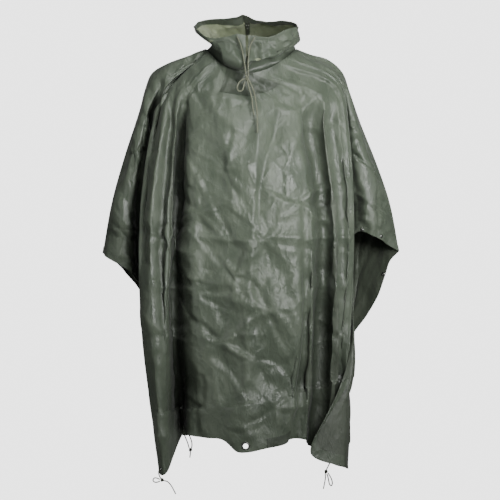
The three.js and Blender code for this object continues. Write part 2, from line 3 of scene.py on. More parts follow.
import bpy
import numpy as np
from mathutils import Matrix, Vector


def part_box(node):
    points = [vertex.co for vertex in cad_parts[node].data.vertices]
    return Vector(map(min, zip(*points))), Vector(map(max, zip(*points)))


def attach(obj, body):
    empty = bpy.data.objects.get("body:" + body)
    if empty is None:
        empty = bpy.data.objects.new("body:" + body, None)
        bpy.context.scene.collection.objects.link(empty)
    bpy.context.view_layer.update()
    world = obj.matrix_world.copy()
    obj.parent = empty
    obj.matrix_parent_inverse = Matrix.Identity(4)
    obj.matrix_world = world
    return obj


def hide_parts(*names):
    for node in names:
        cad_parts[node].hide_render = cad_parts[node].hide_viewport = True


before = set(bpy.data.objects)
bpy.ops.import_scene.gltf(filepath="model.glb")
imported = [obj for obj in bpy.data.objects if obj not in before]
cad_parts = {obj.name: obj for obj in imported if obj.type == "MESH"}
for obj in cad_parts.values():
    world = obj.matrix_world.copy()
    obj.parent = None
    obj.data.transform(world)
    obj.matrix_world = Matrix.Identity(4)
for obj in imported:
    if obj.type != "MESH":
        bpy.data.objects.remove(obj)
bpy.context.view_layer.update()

MM = 0.001
SHELL = 1.0 * MM
TRIM = 0.8 * MM
LAYER_GAP = 0.35 * MM
CROSS_STEP = 6.2 * MM
FRONT_ROWS = 205
BACK_ROWS = 150
PANEL_LENGTH = 1.0
HEM_START = 0.972
CRUMPLE_HEIGHT = 8.5 * MM
HEIGHT_LIMITS = (-22 * MM, 9 * MM)
HOOD_CRUMPLE_HEIGHT = 11.0 * MM
HOOD_HEIGHT_LIMITS = (-14 * MM, 10 * MM)
HOOD_HEIGHT = 0.17
CAMERA_PLACE = (0.0076, -10.0, -0.4914)
CAMERA_LENS = 285.7


def new_object(name, data):
    made = bpy.data.objects.new(name, data)
    bpy.context.scene.collection.objects.link(made)
    return made


# Camera
def make_camera():
    data = bpy.data.cameras.new("camera")
    data.lens = CAMERA_LENS
    data.sensor_width = 36.0
    camera = new_object("camera", data)
    camera.location = CAMERA_PLACE
    camera.rotation_euler = (math.radians(90), 0.0, 0.0)
    bpy.context.scene.camera = camera


make_camera()


# Curves
class Spline:
    """Centripetal curve through points, by its own parameter or by length."""

    def __init__(self, points, divisions=200):
        p = np.array(points, dtype=float)
        ends = np.vstack([2 * p[0] - p[1], p, 2 * p[-1] - p[-2]])
        a, b, c, d = ends[:-3], ends[1:-2], ends[2:-1], ends[3:]
        t0 = np.sum((b - a) ** 2, axis=1) ** 0.25
        t1 = np.sum((c - b) ** 2, axis=1) ** 0.25
        t2 = np.sum((d - c) ** 2, axis=1) ** 0.25
        t1 = np.where(t1 < 1e-6, 1.0, t1)
        t0 = np.where(t0 < 1e-6, t1, t0)[:, None]
        t2 = np.where(t2 < 1e-6, t1, t2)[:, None]
        t1 = t1[:, None]
        start = ((b - a) / t0 - (c - a) / (t0 + t1) + (c - b) / t1) * t1
        end = ((c - b) / t1 - (d - b) / (t1 + t2) + (d - c) / t2) * t1
        self.parts = (b, start, -3 * b + 3 * c - 2 * start - end, 2 * b - 2 * c + start + end)
        self.count = len(p) - 1
        self.marks = np.linspace(0, 1, divisions + 1)
        steps = np.linalg.norm(np.diff(self.at(self.marks), axis=0), axis=1)
        self.lengths = np.concatenate([[0], np.cumsum(steps)])
        self.length = self.lengths[-1]

    def at(self, t):
        place = np.asarray(t, dtype=float) * self.count
        part = np.clip(np.floor(place).astype(int), 0, self.count - 1)
        w = (place - part)[:, None]
        c0, c1, c2, c3 = (c[part] for c in self.parts)
        return c0 + w * (c1 + w * (c2 + w * c3))

    def at_share(self, shares):
        wanted = np.asarray(shares, dtype=float) * self.length
        return self.at(np.interp(wanted, self.lengths, self.marks))


# Materials
def set_inputs(node, values):
    for name, value in values.items():
        node.inputs[name].default_value = value


def new_material(name):
    material = bpy.data.materials.new(name)
    material.use_nodes = True
    tree = material.node_tree
    return material, tree, tree.nodes["Principled BSDF"]


def add_ramp(tree, source, low, high, low_at=0.0, high_at=1.0):
    node = tree.nodes.new("ShaderNodeMapRange")
    set_inputs(node, {"From Min": low_at, "From Max": high_at, "To Min": low, "To Max": high})
    tree.links.new(source, node.inputs["Value"])
    return node.outputs["Result"]


def add_mapping(tree, vector, scale, turn=0.0):
    node = tree.nodes.new("ShaderNodeMapping")
    set_inputs(node, {"Scale": scale, "Rotation": (0.0, turn, 0.0)})
    tree.links.new(vector, node.inputs["Vector"])
    return node.outputs["Vector"]


def add_noise(tree, vector, values, kind="FBM"):
    node = tree.nodes.new("ShaderNodeTexNoise")
    node.noise_type = kind
    node.normalize = kind == "FBM"
    set_inputs(node, values)
    tree.links.new(vector, node.inputs["Vector"])
    return node.outputs["Fac"]


def add_mix(tree, factor, dark, light=None):
    """Mix of two colours by a factor; the second may be linked later."""
    node = tree.nodes.new("ShaderNodeMix")
    node.data_type = "RGBA"
    node.inputs["A"].default_value = (*dark, 1)
    if light:
        node.inputs["B"].default_value = (*light, 1)
    tree.links.new(factor, node.inputs["Factor"])
    return node


def add_bump(tree, height, strength, distance, normal=None):
    node = tree.nodes.new("ShaderNodeBump")
    set_inputs(node, {"Strength": strength, "Distance": distance})
    tree.links.new(height, node.inputs["Height"])
    if normal:
        tree.links.new(normal, node.inputs["Normal"])
    return node.outputs["Normal"]


# Scale, depth and turn of the two layers of crinkles
CRINKLE_LAYERS = ((26.0, 0.0035, 0.7), (55.0, 0.0016, -0.5))
# Painted shade: how far the ambient occlusion looks, and the share of the dark tone that folds and
# valleys are darkened to
PAINTED_SHADE_REACH = 0.13
PAINTED_SHADE_TONE = 0.12


def cloth_material(name, dark, light, rough, crinkle, grain, shade=(0.08, 0.72)):
    """Coated nylon: tone by soft noise, satin gloss, crinkles and a fine grain as bump, and painted
    shade that darkens the base colour in folds by ambient occlusion.
    """
    material, tree, shader = new_material(name)
    place = tree.nodes.new("ShaderNodeTexCoord").outputs["Object"]
    soft = add_noise(tree, add_mapping(tree, place, (1.0, 1.0, 0.55)),
                     {"Scale": 16.0, "Detail": 5.0, "Roughness": 0.62, "Distortion": 0.8})
    tone = add_mix(tree, add_ramp(tree, soft, 0, 1, 0.36, 0.64), dark, light)
    tree.links.new(add_ramp(tree, soft, rough - 0.07, rough + 0.1, 0.3, 0.7),
                   shader.inputs["Roughness"])
    set_inputs(shader, {"Specular IOR Level": 0.5, "Sheen Weight": 0.12, "Sheen Roughness": 0.5})

    normal = None
    for scale, distance, turn in CRINKLE_LAYERS:
        ridges = add_noise(tree, add_mapping(tree, place, (1.0, 0.4, 0.6), turn),
                           {"Scale": scale, "Detail": 3.5, "Roughness": 0.55, "Distortion": 0.4,
                            "Offset": 0.9, "Gain": 1.6}, "RIDGED_MULTIFRACTAL")
        normal = add_bump(tree, ridges, crinkle, distance, normal)
    fine = add_noise(tree, place, {"Scale": 1400.0, "Detail": 2.0})
    tree.links.new(add_bump(tree, fine, grain, 0.0004, normal), shader.inputs["Normal"])

    # Painted shade: ambient occlusion darkens the base colour towards a fraction of the dark tone in
    # folds and valleys
    painted_shade_ao = tree.nodes.new("ShaderNodeAmbientOcclusion")
    painted_shade_ao.samples = 6
    painted_shade_ao.inputs["Distance"].default_value = PAINTED_SHADE_REACH
    painted_shade_color = add_mix(tree, add_ramp(tree, painted_shade_ao.outputs["AO"], 0, 1, *shade),
                   [c * PAINTED_SHADE_TONE for c in dark])
    tree.links.new(tone.outputs["Result"], painted_shade_color.inputs["B"])
    tree.links.new(painted_shade_color.outputs["Result"], shader.inputs["Base Color"])
    return material


def plain_material(name, color, rough, metallic=0.0, scale=300.0, strength=0.3, distance=0.0004):
    material, tree, shader = new_material(name)
    place = tree.nodes.new("ShaderNodeTexCoord").outputs["Object"]
    grain = add_noise(tree, place, {"Scale": scale, "Detail": 4.0})
    tone = add_mix(tree, grain, [c * 0.72 for c in color], [min(1, c * 1.2) for c in color])
    tree.links.new(tone.outputs["Result"], shader.inputs["Base Color"])
    set_inputs(shader, {"Roughness": rough, "Metallic": metallic})
    tree.links.new(add_bump(tree, grain, strength, distance), shader.inputs["Normal"])
    return material


CLOTH = cloth_material("coated_cloth", (0.076, 0.097, 0.068), (0.108, 0.133, 0.095),
                       0.44, 0.3, 0.2)
UNDERSIDE = cloth_material("cloth_underside", (0.060, 0.074, 0.052), (0.090, 0.108, 0.078),
                           0.5, 0.3, 0.2)
LINING = cloth_material("hood_inside", (0.225, 0.262, 0.161), (0.330, 0.375, 0.247),
                        0.5, 0.3, 0.2, (-0.3, 0.5))
# Trim cloth for patches, hem bands and casings: a darker copy of the coated cloth, partly for the
# doubled layer and partly painted shade
TRIM_CLOTH_PAINTED_SHADE = cloth_material("trim_cloth", (0.044, 0.056, 0.039), (0.066, 0.082, 0.057),
                            0.44, 0.3, 0.2)
TAPE = cloth_material("seam_tape", (0.050, 0.062, 0.044), (0.080, 0.096, 0.068),
                      0.4, 0.25, 0.25)
CORD = plain_material("cord", (0.170, 0.182, 0.125), 0.75, scale=900.0, strength=0.8)
TIE = plain_material("tie_cord", (0.070, 0.078, 0.052), 0.75, scale=900.0, strength=0.8)
METAL = plain_material("metal", (0.20, 0.21, 0.19), 0.3, metallic=0.9, scale=220.0, strength=0.1)


# Pieces
def new_piece(name, points, faces, materials, kinds=None, sharp=None):
    """Object of the points that its faces use, with the edges in sharp marked."""
    used, faces_flat = np.unique(np.concatenate([np.ravel(f) for f in faces]), return_inverse=True)
    sizes = [f.shape[1] for f in faces for _ in range(len(f))]
    mesh = bpy.data.meshes.new(name)
    points = np.asarray(points)[used]
    mesh.vertices.add(len(points))
    mesh.vertices.foreach_set("co", points.ravel())
    starts = np.concatenate([[0], np.cumsum(sizes)[:-1]])
    mesh.loops.add(len(faces_flat))
    mesh.loops.foreach_set("vertex_index", faces_flat)
    mesh.polygons.add(len(sizes))
    mesh.polygons.foreach_set("loop_start", starts)
    mesh.polygons.foreach_set("use_smooth", np.full(len(sizes), True))
    if kinds is not None:
        mesh.polygons.foreach_set("material_index", kinds)
    mesh.update(calc_edges=True)
    if sharp is not None and len(sharp):
        place = np.full(used.max() + 1, -1)
        place[used] = np.arange(len(used))
        ends = np.sort(place[sharp], axis=1)
        count = len(points)
        pairs = np.empty(len(mesh.edges) * 2, dtype=np.int64)
        mesh.edges.foreach_get("vertices", pairs)
        pairs = np.sort(pairs.reshape(-1, 2), axis=1)
        flags = np.isin(pairs[:, 0] * count + pairs[:, 1], ends[:, 0] * count + ends[:, 1])
        mesh.edges.foreach_set("use_edge_sharp", flags)
    mesh.validate()
    for material in materials:
        mesh.materials.append(material)
    return new_object(name, mesh)


def grid_faces(rows, columns):
    index = np.arange(rows * columns).reshape(rows, columns)
    return np.stack([index[:-1, :-1], index[1:, :-1], index[1:, 1:], index[:-1, 1:]], axis=-1)


def grid_normals(points):
    down = np.gradient(points, axis=0)
    across = np.gradient(points, axis=1)
    normal = np.cross(down, across)
    return normal / np.maximum(np.linalg.norm(normal, axis=2, keepdims=True), 1e-12)


def wall_piece(name, points, normals, thickness, lift=0.0, keep=None,
               inside=UNDERSIDE, outside=CLOTH):
    """Closed wall round a grid of middle points, its border and holes closed by a rim."""
    rows, columns = points.shape[:2]
    count = rows * columns
    faces = grid_faces(rows, columns)
    faces = faces[keep] if keep is not None else faces.reshape(-1, 4)
    ring = np.concatenate([faces[:, [k, (k + 1) % 4]] for k in range(4)])
    forward = ring[:, 0] * count + ring[:, 1]
    backward = ring[:, 1] * count + ring[:, 0]
    border = ring[~np.isin(forward, backward)]
    rim = np.stack([border[:, 1], border[:, 0], border[:, 0] + count, border[:, 1] + count], axis=1)
    outer = (points + normals * (lift + thickness / 2)).reshape(-1, 3)
    inner = (points + normals * (lift - thickness / 2)).reshape(-1, 3)
    kinds = np.concatenate([np.zeros(len(faces)), np.ones(len(faces)), np.zeros(len(rim))]).astype(int)
    sharp = np.concatenate([border, border + count])
    return new_piece(name, np.vstack([outer, inner]), [faces, faces[:, ::-1] + count, rim],
                     [outside, inside], kinds, sharp)


def on_root(piece, slot, *nodes):
    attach(piece, "root")
    if nodes:
        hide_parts(*nodes)
    return piece


# Cords: routes in mm, from the exit to the free end
DRAWCORD_DIAMETER = 3.6 * MM
TIE_DIAMETER = 3.0 * MM
DRAWCORD_LEFT = [
    (-25, -95, 41), (-21, -104.6, 32), (-16, -115, 20), (-12, -125, 6), (-9, -132, -10),
    (-6, -137, -28), (-4, -140.5, -44), (-2, -142.6, -59.6),
]
DRAWCORD_RIGHT = [
    (19, -95.9, 39), (14, -105.5, 30), (9, -115, 19), (6, -125, 6), (4, -132, -10),
    (3, -137, -28), (3, -140.5, -44), (3, -142.6, -59.4),
]
DRAWCORD_BOW = [
    (-6.4, -144, -66), (-14, -146, -70), (-22, -148, -80), (-24, -149, -90), (-19, -150, -97),
    (-11, -150, -94), (-8, -149, -84), (-5.5, -148, -74),
]
DRAWCORD_SHORT = [
    (1.9, -145.8, -72.5), (4, -150, -84), (8, -153, -98), (12, -156, -114), (14, -159, -132),
    (16, -162, -146), (18, -163, -156),
]
DRAWCORD_LONG = [
    (5.5, -144.8, -70.6), (11, -149, -82), (17, -153, -98), (21, -156, -118), (24, -160, -138),
    (25.5, -163, -160), (26, -165, -180), (26, -167, -200),
]
DRAWCORD_KNOT = (0, -143, -66)
DRAWCORD_KNOT_SIZE = (11 * MM, 12 * MM)
TIE_KNOT_SIZE = (9.2 * MM, 10.4 * MM)
TIES = {
    "tie_front_left": {
        "knot": (-211, -134, -1063),
        "strand": [(-214.4, -135.1, -1037), (-218, -136.7, -1038.5), (-219.5, -137.6, -1042),
                   (-219, -138, -1048), (-217, -137, -1054), (-214.4, -135.8, -1059)],
        "bow": [(-216.9, -136, -1061.5), (-223, -138, -1058.5), (-230, -139, -1058),
                (-233.5, -139, -1063), (-230, -138, -1068), (-223, -137, -1068.5),
                (-216.5, -135.5, -1066)],
        "end": [(-206, -134, -1065), (-199, -135, -1066.5), (-193, -136, -1071),
                (-187, -137, -1079), (-182, -138, -1088), (-177, -138, -1098)],
    },
    "tie_front_right": {
        "knot": (196.8, -122, -1043),
        "strand": [(213.2, -112, -1006), (212.6, -117, -1007.5), (211, -119.8, -1012),
                   (206, -121.5, -1022), (201, -122, -1032), (198.2, -122, -1037.9)],
        "bow": [(199, -124, -1048.6), (201.5, -125, -1056), (203.5, -126, -1066),
                (206, -126, -1075), (210, -126, -1078), (212.5, -126, -1072),
                (210.5, -125.5, -1062), (206, -124.5, -1053), (201.5, -123.3, -1046.2)],
        "end": [(195, -123, -1048.7), (195.5, -124, -1057), (194, -125, -1067),
                (192, -126, -1077), (190, -127, -1086)],
    },
    "tie_back_right": {
        "knot": (213, 97, -957),
        "strand": [(217.3, 92.9, -931.6), (215.4, 96.8, -932.4), (213.6, 98.6, -936),
                   (213, 98.6, -944), (213, 97.6, -951.6)],
        "bow": [(207.8, 98, -957), (202, 99, -954.5), (196, 100, -958), (194, 100, -966),
                (199, 99, -972), (205, 98, -968), (209, 97.5, -962)],
        "end": [(214.4, 97, -962.7), (217, 98, -971), (220, 99, -983), (221, 99.5, -996),
                (220, 99, -1008)],
    },
    "tie_back_left": {
        "knot": (-143.5, 63, -998),
        "strand": [(-146.8, 60.6, -993.1), (-150.5, 57, -980), (-157, 54.5, -964),
                   (-162.5, 54.5, -951), (-163.6, 57.2, -944.4), (-161, 60.6, -943.2),
                   (-158.2, 64.2, -944.4), (-152, 68.5, -952), (-144.5, 68.5, -966),
                   (-140, 67.5, -980), (-140.5, 65.6, -992.6)],
        "end": [(-143.5, 63.5, -1003.6), (-144, 64, -1010), (-145, 64, -1018)],
    },
}


def cord_piece(name, route, diameter, material):
    """Round cord along a route, and its length."""
    spline = Spline(np.array(route) * MM)
    steps = max(24, int(spline.length / (0.4 * diameter)))
    points = spline.at_share(np.linspace(0, 1, steps))
    data = bpy.data.curves.new(name, "CURVE")
    data.dimensions = "3D"
    data.bevel_depth = diameter / 2
    data.bevel_resolution = 3
    data.use_fill_caps = True
    line = data.splines.new("POLY")
    line.points.add(len(points) - 1)
    for target, point in zip(line.points, points):
        target.co = (*point, 1.0)
    data.materials.append(material)
    return new_object(name, data), float(np.sum(np.linalg.norm(np.diff(points, axis=0), axis=1)))


def knot_piece(name, middle, size, diameter):
    """Overhand knot: a trefoil of the cord, pulled tight to the knot's outer size."""
    width, height = size
    turns = np.linspace(0, 2 * np.pi, 97)[:-1]
    tube = diameter * 0.46
    radius = 1 + 0.42 * np.cos(3 * turns)
    line = np.stack([radius * np.cos(2 * turns), 0.52 * np.sin(3 * turns),
                     radius * np.sin(2 * turns)], axis=1)
    line[:, 0] *= (width / 2 - tube) / 1.42
    line[:, 1] *= (width / 2 - tube) / 0.52 * 0.86
    line[:, 2] *= (height / 2 - tube) / 1.42
    line += np.array(middle) * MM
    ahead = np.roll(line, -1, axis=0) - np.roll(line, 1, axis=0)
    ahead /= np.linalg.norm(ahead, axis=1, keepdims=True)
    side = np.cross(ahead, (0.0, 1.0, 0.001))
    side /= np.linalg.norm(side, axis=1, keepdims=True)
    up = np.cross(ahead, side)
    angles = np.linspace(0, 2 * np.pi, 11)[:-1]
    points = line[:, None] + tube * (side[:, None] * np.cos(angles)[:, None]
                                     + up[:, None] * np.sin(angles)[:, None])
    rows, columns = points.shape[:2]
    index = np.arange(rows * columns).reshape(rows, columns)
    below, right = np.roll(index, -1, axis=0), np.roll(index, -1, axis=1)
    faces = np.stack([index, right, np.roll(below, -1, axis=1), below], axis=-1).reshape(-1, 4)
    return new_piece(name, points.reshape(-1, 3), [faces], [CORD if diameter > TIE_DIAMETER else TIE])


def tied_cord(name, route, diameter, nodes):
    """A free cord along a route, hung on the root with its CAD nodes hidden."""
    piece, length = cord_piece(name, route, diameter, CORD if diameter > TIE_DIAMETER else TIE)
    on_root(piece, "cord", *nodes)


def make_cords():
    knot = knot_piece("knot_drawcord", DRAWCORD_KNOT, DRAWCORD_KNOT_SIZE, DRAWCORD_DIAMETER)
    on_root(knot, "cord", "drawcord_knot")
    tied_cord("drawcord_short", DRAWCORD_LEFT + [DRAWCORD_KNOT] + DRAWCORD_SHORT,
              DRAWCORD_DIAMETER, ("drawcord_left", "drawcord_end_short"))
    tied_cord("drawcord_long", DRAWCORD_RIGHT + [DRAWCORD_KNOT] + DRAWCORD_LONG,
              DRAWCORD_DIAMETER, ("drawcord_right", "drawcord_end_long"))
    tied_cord("drawcord_loop", DRAWCORD_BOW, DRAWCORD_DIAMETER, ("drawcord_bow",))
    for name, tie in TIES.items():
        knot = knot_piece(f"knot_{name}", tie["knot"], TIE_KNOT_SIZE, TIE_DIAMETER)
        on_root(knot, "cord", f"{name}_knot")
        tied_cord(f"{name}_cord", tie["strand"] + [tie["knot"]] + tie["end"], TIE_DIAMETER,
                  (f"{name}_strand", f"{name}_end"))
        if "bow" in tie:
            tied_cord(f"{name}_loop", tie["bow"], TIE_DIAMETER, (f"{name}_bow",))


make_cords()

# Fold tables of the two panels, in mm
CHEST, WAIST, THIGH = -190, -400, -700
NECK = {"left": 104, "right": 124, "front": 98, "back": 95,
        "side_z": 15, "front_z": -50, "back_z": 8}
ARM_LEFT = [
    (-104, 15), (-144, -1), (-203, -23), (-240, -47), (-257, -88),
    (-271, -141), (-309, -258), (-340, -370), (-363, -498),
]
ARM_RIGHT = [
    (124, 15), (160, 1), (204, -12), (240, -44), (259, -95),
    (285, -170), (330, -284), (360, -375), (383, -495),
]
# One fold line a row: shoulder X Y Z, chest X Y, waist X Y, then thigh X Y and an extra
# turn X Y Z where the fold has them, and hem X Y Z
FRONT_FOLDS = [
    ARM_LEFT,
    ((-232, -40, -60), (-270, -42), (-324, -44), (-336, -34, -517)),
    ((-222, -60, -78), (-258, -50), (-287, -51), (-289, -52, -550)),
    ((-215, -70, -90), (-240, -20), (-214, 25), (-220, 16, -640)),
    ((-205, -78, -97), (-234, -78), (-266, -108), (-260, -124), (-219, -116, -1044)),
    ((-190, -86, -101), (-212, -104), (-240, -146), (-236, -163), (-206, -146, -1050)),
    ((-177, -89, -104), (-190, -92), (-207, -128), (-209, -148), (-196, -132, -1040)),
    ((-166, -96, -106), (-178, -108), (-190, -144), (-198, -146), (-182, -84, -1003)),
    ((-152, -99, -108), (-159, -84), (-174, -96), (-178, -84), (-160, -22, -944)),
    ((-138, -106, -110), (-143, -120), (-146, -148), (-126, -146), (-143, -112, -953)),
    ((-108, -116, -112), (-105, -134), (-104, -158), (-92, -160), (-98, -142, -958)),
    ((-70, -128, -112), (-62, -148), (-58, -166), (-52, -170), (-57, -158, -962)),
    ((-32, -135, -112), (-28, -154), (-24, -172), (-22, -176), (-24, -174, -992)),
    ((2, -138, -112), (6, -158), (4, -175), (0, -180), (2, -176, -993)),
    ((42, -134, -112), (40, -154), (34, -170), (40, -172), (50, -166, -983)),
    ((80, -124, -112), (74, -142), (80, -168), (92, -172), (94, -156, -974)),
    ((112, -114, -110), (110, -138), (122, -160), (133, -168), (110, -150, -965)),
    ((134, -106, -108), (138, -128), (148, -152), (141, -136), (126, -128, -961)),
    ((150, -100, -106), (150, -116), (163, -150), (163, -148), (152, -132, -967)),
    ((166, -94, -104), (164, -94), (190, -112), (190, -90), (176, -92, -985)),
    ((184, -88, -100), (194, -112), (216, -142), (218, -140), (203, -116, -1014)),
    ((200, -80, -96), (213, -88), (238, -114), (236, -124), (222, -106, -1028)),
    ((214, -72, -88), (234, -92), (254, -122), (248, -120), (236, -104, -1034)),
    ((222, -65, -81), (248, -80), (262, -110), (255, -110), (247, -120, -1036)),
    ((226, -60, -77), (253, -72), (267, -102), (259, -102), (240, -142, -1030)),
    ((229, -55, -73), (255, -62), (267, -90), (259, -92), (252, -124, -850), (158, -160, -996)),
    ((231, -52, -69), (256, -54), (266, -80), (261, -88), (247, -131, -832)),
    ((232, -50, -68), (254, -44), (262, -62), (261, -82), (264, -108, -796)),
    ((233, -47, -66), (251, -34), (250, -36), (256, -74, -762)),
    ((234, -44, -64), (244, -18), (226, 14), (222, 20, -610)),
    ((236, -38, -60), (262, -44), (277, -46), (277, -46, -446)),
    ((238, -28, -56), (278, -40), (318, -50), (321, -48, -458)),
    ARM_RIGHT,
]
BACK_FOLDS = [
    ARM_RIGHT,
    ((236, 24, -54), (286, 24), (348, 24), (362, 24, -522)),
    ((228, 46, -62), (276, 44), (334, 46), (334, 40, -600)),
    ((216, 60, -70), (258, 56), (308, 64), (305, 56, -655)),
    ((202, 74, -78), (238, 70), (282, 80), (260, 80, -728)),
    ((184, 84, -82), (212, 88), (250, 112), (250, 118), (232, 104, -940)),
    ((154, 92, -84), (172, 92), (198, 96), (202, 90), (192, 80, -944)),
    ((122, 100, -83), (138, 120), (154, 138), (160, 150), (156, 148, -950)),
    ((84, 107, -80), (94, 116), (104, 122), (110, 112), (110, 100, -952)),
    ((44, 113, -76), (48, 136), (54, 152), (60, 164), (62, 168, -956)),
    ((2, 112, -75), (2, 130), (2, 138), (4, 136), (6, 132, -958)),
    ((-42, 113, -76), (-44, 136), (-46, 150), (-44, 162), (-46, 166, -956)),
    ((-80, 108, -80), (-86, 118), (-94, 122), (-96, 112), (-98, 102, -952)),
    ((-118, 102, -83), (-130, 122), (-142, 140), (-148, 152), (-144, 150, -950)),
    ((-150, 94, -84), (-166, 96), (-186, 98), (-190, 92), (-184, 82, -946)),
    ((-180, 86, -84), (-205, 92), (-232, 116), (-232, 122), (-218, 108, -942)),
    ((-200, 76, -80), (-228, 62), (-238, 72), (-214, 62), (-146, 50, -958)),
    ((-209, 70, -77), (-240, 56), (-252, 60), (-240, 58, -740)),
    ((-218, 62, -74), (-252, 52), (-272, 56), (-264, 56, -610)),
    ((-232, 42, -60), (-270, 42), (-320, 46), (-326, 38, -530)),
    ARM_LEFT,
]


def neck_point(angle, front):
    """Point of the neck hole at an angle from one side to the other."""
    across, depth = -math.cos(angle), math.sin(angle)
    end_z = NECK["front_z"] if front else NECK["back_z"]
    return (across * (NECK["left"] if across < 0 else NECK["right"]),
            depth * (-NECK["front"] if front else NECK["back"]),
            NECK["side_z"] + (end_z - NECK["side_z"]) * depth * depth)


def fold_spline(fold, angle, front):
    """Curve of one row of a fold table, from the neck hole to the hem."""
    if isinstance(fold, list):
        return Spline([(x, 0.0, z) for x, z in fold])
    shoulder, chest, waist, *lower = fold
    points = [neck_point(angle, front), shoulder, (*chest, CHEST), (*waist, WAIST)]
    if len(lower) > 1:
        points.append((*lower.pop(0), THIGH))
    return Spline(points + lower)


def panel_surface(folds, rows, front):
    """Grid of middle points in metres, with the fold number of each column."""
    last = len(folds) - 1
    splines = []
    for index, fold in enumerate(folds):
        turn = index / last if front else 1 - index / last
        splines.append(fold_spline(fold, math.pi * turn, front))
    columns = []
    for index in range(last):
        widths = [np.linalg.norm(splines[index].at_share([s]) - splines[index + 1].at_share([s]))
                  for s in (0.5, 1.0)]
        count = max(3, int(round(max(widths) * MM / CROSS_STEP)))
        columns.extend(index + k / count for k in range(count))
    columns.append(last)
    columns = np.array(columns)
    shares = np.linspace(0, 1, rows)
    lines = np.stack([spline.at_share(shares) for spline in splines], axis=1)
    grid = np.stack([Spline(line, 2).at(columns / last) for line in lines])
    return grid * MM, columns, shares


# Crumples and creases
def lattice(seed, size=97):
    return np.random.default_rng(seed).random((size, size, 2))


def facets(u, v, cell, seed):
    """Random heights on a lattice, joined by flat triangles with sharp edges."""
    table = lattice(seed)
    size = len(table)
    x, y = u / cell + 11, v / cell + 11
    i, j = np.floor(x).astype(int), np.floor(y).astype(int)
    a, b = x - i, y - j
    corners = [[table[(i + p) % size, (j + q) % size, 0] * 2 - 1 for q in (0, 1)] for p in (0, 1)]
    (h00, h01), (h10, h11) = corners
    up = np.where(a > b, h00 + (h10 - h00) * a + (h11 - h10) * b,
                  h00 + (h11 - h01) * a + (h01 - h00) * b)
    down = np.where(a + b < 1, h00 + (h10 - h00) * a + (h01 - h00) * b,
                    h11 + (h01 - h11) * (1 - a) + (h10 - h11) * (1 - b))
    return np.where(table[i % size, j % size, 1] < 0.5, up, down)


def soft_noise(u, v, cell, seed):
    """Smooth random heights between -1 and 1."""
    table = lattice(seed)[..., 0] * 2 - 1
    size = len(table)
    x, y = u / cell, v / cell
    i, j = np.floor(x).astype(int), np.floor(y).astype(int)
    a, b = x - i, y - j
    a, b = a * a * (3 - 2 * a), b * b * (3 - 2 * b)
    i0, i1, j0, j1 = i % size, (i + 1) % size, j % size, (j + 1) % size
    top = table[i0, j0] * (1 - a) + table[i1, j0] * a
    low = table[i0, j1] * (1 - a) + table[i1, j1] * a
    return top * (1 - b) + low * b


# Size of the facets in metres, their height share, and how far their lattice is turned
FACET_SIZES = ((0.21, 1.5, 0.2), (0.105, 0.8, 0.55), (0.056, 0.5, -0.4), (0.029, 0.28, 0.95))
# How far the lattice is bent, and in which cells, both in metres
LATTICE_BENDS = ((0.030, 0.11), (0.008, 0.04))
LATTICE_STRETCH = 0.7


def crumple(u, v, seed):
    """Heights of crumpled cloth: facets in four sizes, each on a turned and bent lattice."""
    bend_u, bend_v = u, v
    for step, (amount, cell) in enumerate(LATTICE_BENDS):
        bend_u = bend_u + amount * soft_noise(u, v, cell, seed + 1 + step)
        bend_v = bend_v + amount * soft_noise(u, v, cell, seed + 3 + step)
    total = np.zeros(u.shape)
    for step, (cell, share, turn) in enumerate(FACET_SIZES):
        c, s = math.cos(turn), math.sin(turn)
        x, y = c * bend_u - s * bend_v, (s * bend_u + c * bend_v) * LATTICE_STRETCH
        total += share * facets(x, y, cell, seed + 10 * step + 10)
    return total


